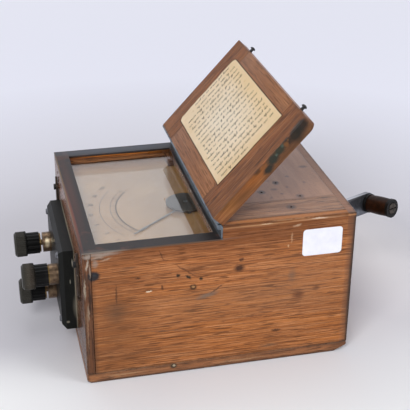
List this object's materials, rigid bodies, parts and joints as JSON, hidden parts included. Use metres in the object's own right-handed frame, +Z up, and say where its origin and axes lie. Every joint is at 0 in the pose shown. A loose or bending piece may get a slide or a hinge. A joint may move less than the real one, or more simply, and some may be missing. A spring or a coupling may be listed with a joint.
{
  "type": "hand-cranked ohmmeter",
  "caption": "Wooden cased insulation tester with a glazed dial under a hinged half lid, screw terminals on a black block and a folding hand crank.",
  "frame": {"origin": "centre of the case's underside", "axes": "+X towards the crank end, -X towards the terminals, -Y towards the side that the picture shows, +Z up"},
  "size_m": [0.3832, 0.2216, 0.246],
  "materials": {
    "oak": "varnished, worn",
    "worn_oak": "worn varnish, greyish",
    "dark_oak": "dark stained",
    "black_facing": "black stained facing, worn at the edges",
    "window_glass": "clear, flat",
    "label_paper": "yellowed paper",
    "hinge_steel": "blued, worn",
    "blackened_iron": "blackened, worn bright at the edges",
    "ebonite": "polished",
    "brass": "tarnished",
    "bright_steel": "ground",
    "grip_wood": "dark varnish",
    "soft_iron": "plain",
    "magnet_red": "dark red paint",
    "copper": "varnished wire",
    "dial_brass": "lacquered",
    "dark_lacquer": "dark lacquer"
  },
  "bodies": {
    "case": {"base_board": "dark_oak", "near_side_board": "oak", "far_side_board": "oak", "front_board": "oak", "rear_board": "oak", "top_panel": "worn_oak", "top_end_strips": "worn_oak", "window_frame": "oak", "window_bezel": "black_facing", "window_glass": "window_glass", "glazing_bead": "dark_oak", "deck_board": "dark_oak", "hinge_case_leaf": "hinge_steel", "hinge_pin": "hinge_steel", "catch_screws": "blackened_iron", "terminal_block": "ebonite", "block_screws": "bright_steel", "terminal_stems": "brass", "terminal_nuts": "brass", "crank_bush": "brass", "inner_gear_plate": "brass", "outer_gear_plate": "brass", "end_bearing_plate": "brass", "brushes": "soft_iron", "brush_holders": "ebonite", "field_magnets": "magnet_red", "pole_pieces": "soft_iron", "dial_plate": "dial_brass", "dial_pillars": "brass", "movement_magnet": "magnet_red", "movement_poles": "soft_iron", "movement_core": "soft_iron", "movement_bridge": "dark_lacquer", "jewel_screws": "bright_steel"},
    "lid": {"lid_panel": "oak", "lid_end_strips": "oak", "paper_label": "label_paper", "lid_studs": "blackened_iron", "hinge_lid_leaf": "hinge_steel"},
    "near_catch": {"near_catch": "blackened_iron"},
    "far_catch": {"far_catch": "blackened_iron"},
    "far_washer": {"far_washer": "brass"},
    "near_washer": {"near_washer": "brass"},
    "low_washer": {"low_washer": "brass"},
    "far_knob": {"far_knob": "ebonite"},
    "near_knob": {"near_knob": "ebonite"},
    "low_knob": {"low_knob": "ebonite"},
    "crank_drive": {"crank_shaft": "bright_steel", "crank_gear": "brass", "fold_pin": "bright_steel"},
    "arm": {"crank_arm": "blackened_iron", "grip_spindle": "bright_steel"},
    "grip": {"crank_grip": "grip_wood", "grip_rings": "ebonite"},
    "layshaft": {"lay_gear": "bright_steel"},
    "armature": {"armature_core": "soft_iron", "armature_winding": "copper", "commutator": "copper"},
    "needle": {"moving_coil": "copper", "pointer": "blackened_iron"}
  },
  "joints": [
    {"name": "lid_swing", "type": "hinge", "parent": "case", "child": "lid", "pos_m": [-0.0028, 0, 0.14795], "axis": [0, 1, 0], "range_deg": [-132.8, 0]},
    {"name": "near_catch_turn", "type": "hinge", "parent": "case", "child": "near_catch", "pos_m": [-0.1265, -0.0825, 0.1105], "axis": [-1, 0, 0], "range_deg": [0, 180]},
    {"name": "far_catch_turn", "type": "hinge", "parent": "case", "child": "far_catch", "pos_m": [-0.1265, 0.0825, 0.1105], "axis": [1, 0, 0], "range_deg": [0, 180]},
    {"name": "far_washer_slide", "type": "slide", "parent": "case", "child": "far_washer", "axis": [-1, 0, 0], "range_m": [-0.00201, 0.00301]},
    {"name": "far_knob_turn", "type": "hinge", "parent": "far_washer", "child": "far_knob", "pos_m": [-0.1595, 0.041, 0.07], "axis": [-1, 0, 0], "range_deg": [-720, 1080]},
    {"name": "near_washer_slide", "type": "slide", "parent": "case", "child": "near_washer", "axis": [-1, 0, 0], "range_m": [0, 0.00301]},
    {"name": "near_knob_turn", "type": "hinge", "parent": "near_washer", "child": "near_knob", "pos_m": [-0.1595, -0.025, 0.07], "axis": [-1, 0, 0], "range_deg": [0, 1080]},
    {"name": "low_washer_slide", "type": "slide", "parent": "case", "child": "low_washer", "axis": [-1, 0, 0], "range_m": [-0.00201, 0.00301]},
    {"name": "low_knob_turn", "type": "hinge", "parent": "low_washer", "child": "low_knob", "pos_m": [-0.1595, 0.008, 0.035], "axis": [-1, 0, 0], "range_deg": [-720, 1080]},
    {"name": "crank_turn", "type": "hinge", "parent": "case", "child": "crank_drive", "pos_m": [0.125, -0.026, 0.1024], "axis": [1, 0, 0], "continuous": true},
    {"name": "crank_fold", "type": "hinge", "parent": "crank_drive", "child": "arm", "pos_m": [0.133, -0.026, 0.1024], "axis": [0, 0.1685, 0.9857], "range_deg": [-31, 59]},
    {"name": "grip_spin", "type": "hinge", "parent": "arm", "child": "grip", "pos_m": [0.18272, 0.00345, 0.09737], "axis": [0.515, -0.8449, 0.1444], "continuous": true},
    {"name": "layshaft_spin", "type": "hinge", "parent": "case", "child": "layshaft", "pos_m": [0.09, -0.0035, 0.0724], "axis": [1, 0, 0], "continuous": true},
    {"name": "armature_spin", "type": "hinge", "parent": "case", "child": "armature", "pos_m": [0.06, 0.0065, 0.0484], "axis": [1, 0, 0], "continuous": true},
    {"name": "pointer_swing", "type": "hinge", "parent": "case", "child": "needle", "pos_m": [-0.013, -0.0174, 0.124], "axis": [0, 0, 1], "range_deg": [-79, 0]}
  ],
  "couplings": [
    {"joint": "far_washer_slide", "follows": "far_knob_turn", "m_per_rad": 0.00015915},
    {"joint": "near_washer_slide", "follows": "near_knob_turn", "m_per_rad": 0.00015915},
    {"joint": "low_washer_slide", "follows": "low_knob_turn", "m_per_rad": 0.00015915},
    {"joint": "layshaft_spin", "follows": "crank_turn", "ratio": -4},
    {"joint": "armature_spin", "follows": "crank_turn", "ratio": 13.333}
  ]
}
